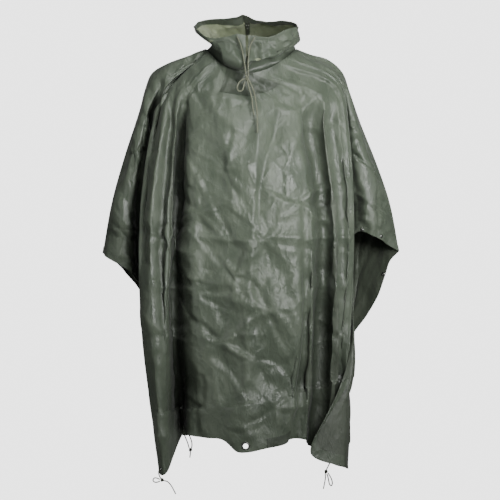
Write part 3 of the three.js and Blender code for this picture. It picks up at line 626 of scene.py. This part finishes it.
# Creases of the front, in the plane of the picture: X and Z in mm along each, its depth
# and its half width in mm, and its kind
FRONT_CREASES = [
    ([(-222, -70), (-244, -139), (-258, -189), (-270, -340), (-268, -420), (-262, -520)],
     12, 9, "trough"),
    ([(-176, -63), (-193, -189), (-205, -365), (-214, -491), (-214, -600)], 4, 6, "trough"),
    ([(-150, -130), (-158, -189), (-170, -365), (-187, -491), (-187, -640), (-172, -800),
      (-160, -940)], 14, 11, "trough"),
    ([(-140, -820), (-125, -900), (-120, -950)], 8, 12, "trough"),
    ([(83, -151), (68, -210), (50, -262), (33, -335), (30, -400)], 8, 9, "trough"),
    ([(142, -120), (150, -159), (175, -265), (202, -403), (212, -480), (227, -547)], 9, 8, "trough"),
    ([(236, -160), (247, -214), (247, -315), (240, -400)], 3, 8, "trough"),
    ([(229, -48), (247, -139), (259, -184), (265, -262), (275, -343), (280, -430)], 6, 9, "trough"),
    ([(150, -560), (172, -620), (190, -693), (194, -869), (182, -985)], 8, 14, "trough"),
    ([(138, -560), (138, -731), (123, -844)], 8, 32, "ridge"),
    ([(28, -201), (13, -466), (9, -567), (-1, -703), (-5, -885), (-5, -950)], 7, 9, "ridge"),
    ([(-128, -456), (-63, -466), (13, -469), (58, -459), (134, -461)], 7, 9, "ridge"),
    ([(-131, -567), (-123, -650), (-78, -809), (-63, -955)], 9, 14, "ridge"),
    ([(60, -466), (72, -510), (83, -554)], 5, 8, "trough"),
    ([(-118, -597), (-60, -602), (0, -592)], 5, 8, "ledge"),
    ([(-78, -769), (-50, -790), (-15, -839)], 9, 12, "ledge"),
    ([(96, -411), (140, -372), (184, -335)], 6, 8, "ridge"),
    ([(-131, -290), (-100, -350), (-60, -430)], 6, 9, "ledge"),
    ([(-70, -260), (-40, -330), (-5, -380)], 6, 9, "trough"),
    ([(-194, -113), (-190, -170), (-176, -247)], 5, 6, "trough"),
    ([(-144, -76), (-128, -100), (-110, -134)], 6, 7, "trough"),
    ([(30, -480), (60, -560), (120, -640)], 6, 10, "ledge"),
    ([(-110, -480), (-60, -540), (-20, -590)], 6, 10, "ledge"),
    ([(20, -620), (70, -700), (115, -790)], 5, 9, "ridge"),
    ([(-150, -640), (-110, -700), (-60, -720)], 6, 9, "ledge"),
    ([(120, -225), (100, -300), (105, -380)], 6, 9, "ridge"),
    ([(-40, -120), (-30, -200), (-48, -290)], 5, 9, "ridge"),
    ([(316, -296), (319, -330), (322, -440)], 15, 5, "ledge"),
    ([(273, -252), (296, -278), (318, -302)], 11, 5, "trough"),
    ([(292, -284), (300, -350), (302, -440)], 9, 10, "ridge"),
    ([(130, -846), (60, -866), (5, -872)], 20, 40, "drop"),
    ([(-100, -110), (-45, -116), (0, -119), (60, -112), (112, -102)], 3, 4, "ridge"),
    ([(-215, -500), (-222, -640), (-215, -800), (-205, -960)], 4, 7, "ridge"),
]
# Crushed places of the front: X and Z, the reach and depth of the creases round each, in mm,
# and their number
FRONT_CRUSHES = [
    (-118, -400, 90, 5, 7), (130, -372, 100, 5, 8), (45, -470, 80, 5, 7), (-30, -560, 90, 5, 7),
    (-130, -590, 80, 5, 6), (-75, -150, 80, 4, 7), (120, -140, 70, 4, 6), (-60, -290, 80, 4, 6),
    (60, -640, 110, 5, 7), (20, -760, 100, 5, 7), (-60, -720, 90, 5, 6), (75, -880, 80, 5, 6),
    (-100, -880, 90, 5, 7), (215, -460, 80, 5, 6), (-225, -460, 90, 5, 7), (-320, -440, 80, 5, 6),
    (300, -200, 80, 5, 6), (340, -390, 70, 5, 6), (-280, -250, 80, 4, 6), (230, -700, 90, 4, 6),
    (-210, -700, 90, 4, 6), (5, -940, 60, 4, 5), (-225, -950, 70, 4, 5), (215, -930, 70, 4, 5),
]
BACK_CREASES = [
    ([(-4, -150), (2, -400), (-3, -700), (3, -930)], 5, 8, "ridge"),
    ([(-190, -455), (-80, -470), (60, -462), (200, -470)], 5, 8, "ridge"),
    ([(-150, -240), (-90, -330), (-60, -420)], 6, 9, "ledge"),
    ([(120, -220), (80, -300), (90, -390)], 6, 9, "trough"),
    ([(-120, -560), (-60, -640), (20, -690)], 6, 9, "ledge"),
    ([(150, -560), (90, -650), (40, -760)], 6, 9, "ridge"),
    ([(-180, -700), (-90, -720), (0, -705)], 5, 8, "trough"),
    ([(60, -820), (130, -860), (200, -850)], 6, 10, "ledge"),
    ([(-150, -800), (-80, -870), (-30, -930)], 5, 9, "trough"),
]
BACK_CRUSHES = [
    (0, -465, 100, 5, 8), (-160, -380, 90, 5, 7), (170, -350, 90, 5, 7), (-60, -620, 100, 5, 7),
    (110, -700, 100, 5, 7), (-150, -840, 90, 5, 6), (40, -860, 90, 5, 6), (-90, -180, 90, 4, 6),
    (100, -170, 90, 4, 6), (220, -560, 80, 4, 6), (-230, -560, 80, 4, 6), (310, -380, 80, 5, 6),
    (-310, -400, 80, 5, 6),
]


CRUSH_WIDTH = 6.5


def crush_lines(crushes, seed):
    """Short bent creases that run out of each crushed place at random angles."""
    random = np.random.default_rng(seed)
    lines = []
    for x, z, reach, depth, count in crushes:
        first = random.uniform(0, 2 * math.pi)
        for step in range(count):
            angle = first + 2 * math.pi * (step + random.uniform(-0.3, 0.3)) / count
            far = reach * random.uniform(0.55, 1.25)
            bend = random.uniform(-0.35, 0.35)
            middle = (x + 0.5 * far * math.cos(angle), z + 0.5 * far * math.sin(angle))
            end = (x + far * math.cos(angle + bend), z + far * math.sin(angle + bend))
            kind = ("ridge", "trough", "ledge")[step % 3]
            lines.append(([(x, z), middle, end], depth * random.uniform(0.7, 1.2),
                          CRUSH_WIDTH, kind))
    return lines


def line_distance(x, z, line):
    """Distance from a bent line, and the same signed by its side."""
    best = np.full(x.shape, np.inf)
    signed = np.zeros(x.shape)
    for (ax, az), (bx, bz) in zip(line[:-1], line[1:]):
        dx, dz = bx - ax, bz - az
        size = math.hypot(dx, dz)
        along = np.clip(((x - ax) * dx + (z - az) * dz) / size ** 2, 0, 1)
        px, pz = x - (ax + along * dx), z - (az + along * dz)
        distance = np.hypot(px, pz)
        closer = distance < best
        best = np.where(closer, distance, best)
        signed = np.where(closer, np.sign(px * dz - pz * dx) * distance, signed)
    return best, signed


def crease_heights(points, facing, creases):
    """Sum of all creases at each point, less where the cloth faces sideways."""
    x, z = points[..., 0], points[..., 2]
    total = np.zeros(x.shape)
    for line, depth, width, kind in creases:
        best, signed = line_distance(x, z, [(px * MM, pz * MM) for px, pz in line])
        share = best / (width * MM)
        if kind == "ledge":
            side = np.clip(signed / (width * MM * 0.6), -1, 1)
            shape = (0.25 + 0.5 * side) * np.exp(-share * 0.22)
        elif kind == "drop":
            shape = np.where(signed > 0, -(1 - np.exp(-share)) * np.exp(-share / 5), 0)
        else:
            shape = np.exp(-share / 1.5) * (1 if kind == "ridge" else -1)
        total += depth * MM * shape
    return total * facing


def smooth_step(value, low, high):
    t = np.clip((value - low) / (high - low), 0, 1)
    return t * t * (3 - 2 * t)


FIXED = {
    "front": ["eyelet_front_left", "eyelet_front_centre", "eyelet_front_right",
              "stud_right_cuff_front", "stud_right_cuff_arm", "stud_left_cuff"],
    "back": ["eyelet_back_right", "eyelet_back_centre", "eyelet_back_left",
             "stud_right_back_edge", "stud_left_back_edge"],
}
HOLES = {"centre": 9.0 * MM, "corner": 4.6 * MM}
# Distances over which the crumples fade in from the free edges, the neck and a fixed piece
EDGE_FADE = 0.03
NECK_FADE = 0.05
FIXED_FADE = (0.008, 0.03)
EDGE_SHARE = 0.12
# Fold numbers of the turned-over corner, where the crumples are lower
FLAP_FOLDS = ((22.5, 23.5), (28.5, 29.5))
FLAP_SHARE = 0.3


def node_middle(node):
    low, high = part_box(node)
    return (np.array(low) + np.array(high)) / 2


def outward(normals, front):
    """Turns the normals to the front or the back of the poncho."""
    rows, columns = normals.shape[:2]
    if (normals[rows // 2, columns // 2, 1] < 0) != front:
        return -normals
    return normals


def crumple_mask(points, columns, u, v, side):
    """0 where the cloth keeps the plain form, 1 where it is crumpled in full."""
    edge = np.minimum(u, u[:, -1:] - u)
    mask = smooth_step(edge, 0.0, EDGE_FADE) * smooth_step(v, 0.0, NECK_FADE)
    mask = EDGE_SHARE + (1 - EDGE_SHARE) * mask
    mask[:, 0] = mask[:, -1] = 0
    mask[0] = 0
    if side == "front":
        (rise_from, rise_to), (fall_from, fall_to) = FLAP_FOLDS
        flap = smooth_step(columns, rise_from, rise_to)
        flap = flap * (1 - smooth_step(columns, fall_from, fall_to))
        mask *= (1 - (1 - FLAP_SHARE) * flap)[None, :]
    for node in FIXED[side]:
        near = np.linalg.norm(points - node_middle(node), axis=2)
        mask *= smooth_step(near, *FIXED_FADE)
    return mask


def crumpled_panel(side, folds, rows, seed, creases):
    """Middle points, normals and kept faces of one panel with its creases and crumples."""
    front = side == "front"
    points, columns, shares = panel_surface(folds, rows, front)
    normals = outward(grid_normals(points), front)
    width = np.median(np.linalg.norm(np.diff(points, axis=1), axis=2), axis=0)
    u = np.concatenate([[0], np.cumsum(width)])[None, :] + np.zeros((rows, 1))
    v = shares[:, None] * PANEL_LENGTH + np.zeros((1, len(columns)))
    mask = crumple_mask(points, columns, u, v, side)
    facing = smooth_step(normals[..., 1] * (-1 if front else 1), 0.1, 0.45)
    heights = CRUMPLE_HEIGHT * (crumple(u, v, seed) - 0.3) * (0.25 + 0.75 * facing)
    heights += crease_heights(points, facing, creases)
    heights = np.clip(heights, *HEIGHT_LIMITS)
    points = points + normals * (heights * mask)[..., None]
    keep = np.ones((rows - 1, len(columns) - 1), dtype=bool)
    for node in FIXED[side]:
        if node.startswith("eyelet"):
            cut_hole(points, normals, keep, node)
    normals = outward(grid_normals(points), front)
    return {"points": points, "normals": normals, "columns": columns, "shares": shares,
            "keep": keep}


def cut_hole(points, normals, keep, node):
    """Takes out four faces round the nearest vertex and sets their border on a circle."""
    middle = node_middle(node)
    radius = HOLES["centre" if "centre" in node else "corner"]
    distance = np.linalg.norm(points - middle, axis=2)
    row, column = np.unravel_index(np.argmin(distance), distance.shape)
    row = min(max(row, 1), points.shape[0] - 3)
    column = min(max(column, 1), points.shape[1] - 2)
    keep[row - 1:row + 1, column - 1:column + 1] = False
    axis = normals[row, column]
    across = points[row, column + 1] - points[row, column - 1]
    across -= axis * (across @ axis)
    across /= np.linalg.norm(across)
    down = np.cross(across, axis)
    if down @ (points[row + 1, column] - points[row, column]) < 0:
        down = -down
    ring = [(0, 1), (1, 1), (1, 0), (1, -1), (0, -1), (-1, -1), (-1, 0), (-1, 1)]
    points[row, column] = middle
    for step, (dr, dc) in enumerate(ring):
        angle = math.pi / 4 * step
        points[row + dr, column + dc] = middle + radius * (
            math.cos(angle) * across + math.sin(angle) * down)


def places_between(values, low, high):
    return np.where((values >= low - 1e-9) & (values <= high + 1e-9))[0]


def strip_piece(name, panel, share_range, fold_range, side, material):
    """A band or patch on some rows and columns of a panel, on its outer or inner face."""
    rows = places_between(panel["shares"], *share_range)
    columns = places_between(panel["columns"], *fold_range)
    part = np.ix_(rows, columns)
    points = panel["points"][part]
    normals = panel["normals"][part]
    lift = side * (SHELL / 2 + LAYER_GAP + TRIM / 2)
    keep = panel["keep"][rows[0]:rows[-1], columns[0]:columns[-1]]
    return wall_piece(name, points, normals, TRIM, lift, keep, inside=material, outside=material)


FRONT = crumpled_panel("front", FRONT_FOLDS, FRONT_ROWS, 11,
                       FRONT_CREASES + crush_lines(FRONT_CRUSHES, 7))
BACK = crumpled_panel("back", BACK_FOLDS, BACK_ROWS, 51,
                      BACK_CREASES + crush_lines(BACK_CRUSHES, 8))

front_cloth = on_root(wall_piece("poncho_front", FRONT["points"], FRONT["normals"], SHELL,
                                 keep=FRONT["keep"]), "coated_cloth", "front_panel")
back_cloth = on_root(wall_piece("poncho_back", BACK["points"], BACK["normals"], SHELL,
                                keep=BACK["keep"]), "coated_cloth", "back_panel")
# Piece, CAD node, panel, its share of the length, its folds, and 1 outside or -1 inside
STRIPS = [
    ("patch_front", "neck_patch_front", FRONT, (0.0, 0.079), (11, 17), 1),
    ("patch_back", "neck_patch_back", BACK, (0.0, 0.12), (7, 13), 1),
    ("hem_front", "hem_band_front", FRONT, (HEM_START, 1), (14, 16), 1),
    ("hem_back_right", "hem_band_back_right", BACK, (HEM_START, 1), (6, 10), 1),
    ("hem_back_left", "hem_band_back_left", BACK, (HEM_START, 1), (11, 14), 1),
    ("cuff_left", "cuff_band_left", FRONT, (HEM_START, 1), (0, 2), 1),
    ("cuff_right", "cuff_band_right", FRONT, (HEM_START, 1), (30, 32), 1),
    ("flap_hem", "flap_band", FRONT, (HEM_START, 1), (24, 26), -1),
]
for name, node, panel, share_range, fold_range, side in STRIPS:
    # Patches and hem bands take the darker trim cloth, partly painted shade
    material = TRIM_CLOTH_PAINTED_SHADE if name.startswith(("patch", "hem")) else CLOTH
    on_root(strip_piece(name, panel, share_range, fold_range, side, material),
                           "trim_cloth", node)


# Hood
# Rings of the hood in mm, from the neck to the rim; a drop is a ring along the neck hole
NECK_INSET = 2.5
HOOD_RINGS = [
    {"drop": -6},
    {"drop": 9},
    {"left": 105, "right": 124, "front": 126, "back": 122,
     "leftZ": 36, "rightZ": 34, "frontZ": -24, "backZ": 30},
    {"left": 108, "right": 125, "front": 108, "back": 146,
     "leftZ": 50, "rightZ": 48, "frontZ": 10, "backZ": 60},
    {"left": 134, "right": 131, "front": 90, "back": 92,
     "leftZ": 73, "rightZ": 70, "frontZ": 44, "backZ": 100},
]
CHIN_SLIT = 8
SEAM_LAP = 0.25
HOOD_ROWS = 64
HOOD_COLUMNS = 96
CASING_SHARE = 0.14
TAPE_SHARE = 0.46
TAPE_HALF_WIDTH = 7
HOOD_NOISE_SCALE = 1.9
HOOD_NOISE_SHIFT = 0.7
# How far the rim rises above its ring, by X in mm, behind and in front
BACK_RIM = [(-134, 0), (-124, 9), (-91, 7), (-58, 4), (-25, 3), (-12, 9), (2, 3), (20, -5),
            (50, -7), (88, 4), (113, 9), (126, 6), (131, 0)]
FRONT_RIM = [(-134, 0), (-118, -12), (-100, -18), (-83, -16), (-50, -6), (-25, 3), (0, 1),
             (20, -3), (53, -9), (73, -6), (96, 3), (118, 3), (131, 0)]


def hood_ring(ring):
    if "drop" not in ring:
        return ring
    sizes = {k: NECK[k] - NECK_INSET for k in ("left", "right", "front", "back")}
    heights = {"leftZ": NECK["side_z"], "rightZ": NECK["side_z"],
               "frontZ": NECK["front_z"], "backZ": NECK["back_z"]}
    return {**sizes, **{k: z + ring["drop"] for k, z in heights.items()}}


def hood_point(ring, level, angle, side):
    """Point of a ring: angle 0 is the chin, pi the middle of the back."""
    ring = hood_ring(ring)
    c, s = math.cos(angle), math.sin(angle)
    side_z = ring["leftZ"] if side < 0 else ring["rightZ"]
    slit = CHIN_SLIT / 2 * level * c if c > 0 else 0
    return (side * (slit - SEAM_LAP + ring["left" if side < 0 else "right"] * s),
            -c * (ring["front"] if c > 0 else ring["back"]),
            side_z + ((ring["frontZ"] if c > 0 else ring["backZ"]) - side_z) * c * c)


# Folds of the hood outside at the front, in the plane of the picture
HOOD_CREASES = [
    ([(-112, 24), (-76, -12), (-43, -38), (-6, -50)], 12, 7, "trough"),
    ([(-98, 8), (-70, -28), (-30, -52)], 9, 8, "ridge"),
    ([(-60, 30), (-40, 8), (-28, -25)], 9, 8, "ridge"),
    ([(-88, 28), (-74, 2), (-56, -16)], 8, 7, "ledge"),
    ([(-45, 34), (-20, 20), (-8, 6)], 7, 7, "trough"),
    ([(-40, -8), (-18, -20), (-4, -36)], 8, 7, "ledge"),
    ([(45, 0), (62, -12), (95, -22)], 11, 10, "ridge"),
    ([(50, 22), (80, 8), (118, 2)], 12, 8, "trough"),
    ([(30, 34), (52, 20), (70, 18)], 9, 8, "ridge"),
    ([(20, 20), (30, -10), (28, -38)], 9, 8, "trough"),
    ([(38, 12), (46, -16), (44, -44)], 8, 8, "ledge"),
    ([(52, -30), (90, -42), (116, -20)], 10, 7, "trough"),
    ([(100, 45), (118, 30), (122, 10)], 7, 7, "ridge"),
    ([(74, 34), (92, 26), (118, 32)], 7, 7, "trough"),
]


def away_from(middle, points, normals):
    """Turns the normals outward from the middle of the hood."""
    if np.sum((points - middle)[..., :2] * normals[..., :2]) < 0:
        return -normals
    return normals


def hood_half(side):
    """Middle points and normals of one half, from the rim down to the neck."""
    angles = np.linspace(0, math.pi, HOOD_COLUMNS + 1)
    levels = len(HOOD_RINGS) - 1
    splines = [Spline([hood_point(ring, k / levels, a, side) for k, ring in enumerate(HOOD_RINGS)])
               for a in angles]
    shares = np.linspace(1, 0, HOOD_ROWS + 1)
    points = np.stack([spline.at_share(shares) for spline in splines], axis=1)
    near_rim = smooth_step(shares, 0.55, 1.0)[:, None]
    behind = angles > math.pi / 2
    rim_x = points[0, :, 0]
    rise_back = np.interp(rim_x, *zip(*BACK_RIM))
    rise_front = np.interp(rim_x, *zip(*FRONT_RIM))
    points[..., 2] += near_rim * np.where(behind, rise_back, rise_front)[None, :]
    points = points * MM
    if side < 0:
        points = points[:, ::-1]
    middle = points.mean(axis=(0, 1)) * (0, 1, 1)
    normals = away_from(middle, points, grid_normals(points))
    length = np.linalg.norm(np.diff(points, axis=1), axis=2)[HOOD_ROWS // 2]
    u = np.concatenate([[0], np.cumsum(length)])[None, :] + np.zeros((HOOD_ROWS + 1, 1))
    v = (1 - shares)[:, None] * HOOD_HEIGHT + np.zeros((1, HOOD_COLUMNS + 1))
    up_share = smooth_step(shares, 0.0, 0.25) * (1 - 0.75 * smooth_step(shares, 0.8, 1.0))
    seam = np.minimum(u, u[:, -1:] - u)
    mask = up_share[:, None] * smooth_step(seam, 0.0, 0.015)
    ahead = smooth_step(-normals[..., 1], 0.05, 0.4)
    start = HOOD_NOISE_SHIFT if side < 0 else 0
    noise = crumple(HOOD_NOISE_SCALE * (u + start), HOOD_NOISE_SCALE * v, 91)
    heights = HOOD_CRUMPLE_HEIGHT * (noise - 0.1)
    heights += crease_heights(points, ahead, HOOD_CREASES)
    heights = np.clip(heights, *HOOD_HEIGHT_LIMITS)
    points = points + normals * (heights * mask)[..., None]
    normals = away_from(middle, points, grid_normals(points))
    return {"points": points, "normals": normals}


CASING_ROWS = int(round(CASING_SHARE * HOOD_ROWS))
CASING_LIFT = -(SHELL / 2 + LAYER_GAP + TRIM / 2)
hoods = {"left": hood_half(-1), "right": hood_half(1)}
for side, half in hoods.items():
    shell = wall_piece(f"hood_shell_{side}", half["points"], half["normals"], SHELL, inside=LINING)
    on_root(shell, "coated_cloth", f"hood_{side}")
    # The casing takes the darker trim cloth, partly painted shade
    casing = wall_piece(f"casing_{side}", half["points"][:CASING_ROWS + 1],
                        half["normals"][:CASING_ROWS + 1], TRIM, CASING_LIFT,
                        inside=TRIM_CLOTH_PAINTED_SHADE, outside=TRIM_CLOTH_PAINTED_SHADE)
    on_root(casing, "trim_cloth", f"hood_casing_{side}")


def make_tape(half):
    """Tape down the inside of the back seam, over the casing."""
    rows = int(HOOD_ROWS * TAPE_SHARE)
    lift = SHELL / 2 + 2 * LAYER_GAP + TRIM * 1.5 + 0.2 * MM
    offsets = np.linspace(TAPE_HALF_WIDTH, -TAPE_HALF_WIDTH, 9) * MM
    lines = []
    for row in range(rows + 1):
        seam = half["points"][row, -1]
        normal = half["normals"][row, -1] * (0, 1, 1)
        normal = normal / np.linalg.norm(normal)
        lines.append([seam + np.array((o, 0, 0)) - normal * lift for o in offsets])
    points = np.array(lines)
    normals = grid_normals(points)
    if normals[rows // 2, 4, 1] < 0:
        normals = -normals
    tape = wall_piece("tape_hood", points, normals, TRIM, inside=TAPE, outside=TAPE)
    on_root(tape, "trim_cloth", "hood_tape")


make_tape(hoods["right"])


# Metal: eyelets and press studs
def lathe_piece(name, profile, middle, axis, turns=28):
    """Turns a profile of radius and height about an axis at a point."""
    axis = Vector(axis).normalized()
    across = axis.orthogonal().normalized()
    other = axis.cross(across)
    points = []
    for step in range(turns):
        angle = 2 * math.pi * step / turns
        out = across * math.cos(angle) + other * math.sin(angle)
        points.append([Vector(middle) + out * r * MM + axis * h * MM for r, h in profile])
    points = np.array([[tuple(p) for p in line] for line in points])
    rows, columns = points.shape[:2]
    index = np.arange(rows * columns).reshape(rows, columns)
    turned = np.roll(index, -1, axis=0)
    faces = np.stack([index[:, :-1], turned[:, :-1], turned[:, 1:], index[:, 1:]], axis=-1)
    return new_piece(name, points.reshape(-1, 3), [faces.reshape(-1, 4)], [METAL])


def surface_axis(panel, middle):
    """Mean direction that the cloth faces round a point."""
    distance = np.linalg.norm(panel["points"] - middle, axis=2)
    row, column = np.unravel_index(np.argmin(distance), distance.shape)
    near = panel["normals"][max(row - 4, 0):row + 5, max(column - 3, 0):column + 4]
    axis = near.reshape(-1, 3).mean(axis=0)
    return axis / np.linalg.norm(axis)


def eyelet_profile(inner, outer):
    """Radius and height of a rolled ring with a flange on each face of the cloth, in mm."""
    return [(inner, -1.0), (inner + 0.8, -1.6), (outer - 0.8, -1.5), (outer, -0.9),
            (outer - 0.5, -0.6), (outer - 0.5, 0.6), (outer, 0.9), (outer - 0.8, 1.5),
            (inner + 0.8, 1.6), (inner, 1.0), (inner, -1.0)]


EYELET_RADII = {"centre": (6.5, 11), "corner": (3.2, 6)}
# Radius and height in mm, from the underside to the top of the dome
STUD_PROFILE = [(0.01, -0.3), (4.6, -0.3), (5.0, 0.3), (5.0, 1.0), (4.5, 1.5), (3.6, 1.4),
                (3.2, 1.9), (2.4, 2.6), (1.2, 2.9), (0.01, 3.0)]
HOOD_STUD_PROFILE = [(0.01, 0.0), (2.4, 0.0), (2.6, 0.5), (2.2, 1.1), (1.2, 1.5), (0.01, 1.6)]
HOOD_STUD_AXES = {
    "hood_stud_upper_left": (0, -0.75, 0.3),
    "hood_stud_upper_right": (0, -0.75, 0.3),
    "hood_stud_lower": (0, -0.75, -0.6),
}

for side, panel in (("front", FRONT), ("back", BACK)):
    for node in FIXED[side]:
        middle = node_middle(node)
        axis = surface_axis(panel, middle)
        if node.startswith("eyelet"):
            profile = eyelet_profile(*EYELET_RADII["centre" if "centre" in node else "corner"])
        else:
            profile = [(r, h - 1.5) for r, h in STUD_PROFILE]
            if node == "stud_right_back_edge":
                axis = -axis
        on_root(lathe_piece(f"metal_{node}", profile, middle, axis), "metal", node)
for node, axis in HOOD_STUD_AXES.items():
    profile = [(r, h - 0.8) for r, h in HOOD_STUD_PROFILE]
    on_root(lathe_piece(f"metal_{node}", profile, node_middle(node), axis, 16), "metal", node)


# Stage and lights
def stage_plane(name, corners, color, glow=0.0):
    mesh = bpy.data.meshes.new(name)
    mesh.from_pydata(corners, [], [(0, 1, 2, 3)])
    material, _, shader = new_material(name)
    set_inputs(shader, {"Base Color": (*color, 1), "Roughness": 0.9,
                        "Emission Color": (1, 1, 1, 1), "Emission Strength": glow})
    mesh.materials.append(material)
    new_object(name, mesh)


def area_light(name, location, target, size, power, spread=180):
    data = bpy.data.lights.new(name, "AREA")
    data.shape = "RECTANGLE"
    data.size, data.size_y = size
    data.energy = power
    data.spread = math.radians(spread)
    light = new_object(name, data)
    light.location = location
    light.rotation_euler = (Vector(target) - Vector(location)).to_track_quat("-Z", "Y").to_euler()


stage_plane("floor", [(-5, -5, -1.45), (5, -5, -1.45), (5, 4.8, -1.45), (-5, 4.8, -1.45)],
            (0.85, 0.85, 0.84))
stage_plane("backdrop", [(-2.1, 14, -2.6), (2.1, 14, -2.6), (2.1, 14, 1.6), (-2.1, 14, 1.6)],
            (0.9, 0.9, 0.9), 3.0)
area_light("key", (0.8, -1.7, 0.0), (0.0, 0.0, -0.26), (0.6, 0.6), 6.4, spread=70)
area_light("side", (-2.2, -1.9, -0.1), (-0.1, 0.0, -0.5), (0.6, 1.6), 12.0)
area_light("right", (2.4, -1.0, -0.1), (0.25, 0.0, -0.35), (0.5, 1.4), 8.5)
area_light("hood", (0.0, -1.0, 1.6), (0.0, 0.05, 0.05), (0.5, 0.5), 1.2, spread=40)
world = bpy.data.worlds.new("studio")
world.use_nodes = True
set_inputs(world.node_tree.nodes["Background"], {"Color": (1.0, 1.0, 1.0, 1), "Strength": 0.07})
bpy.context.scene.world = world
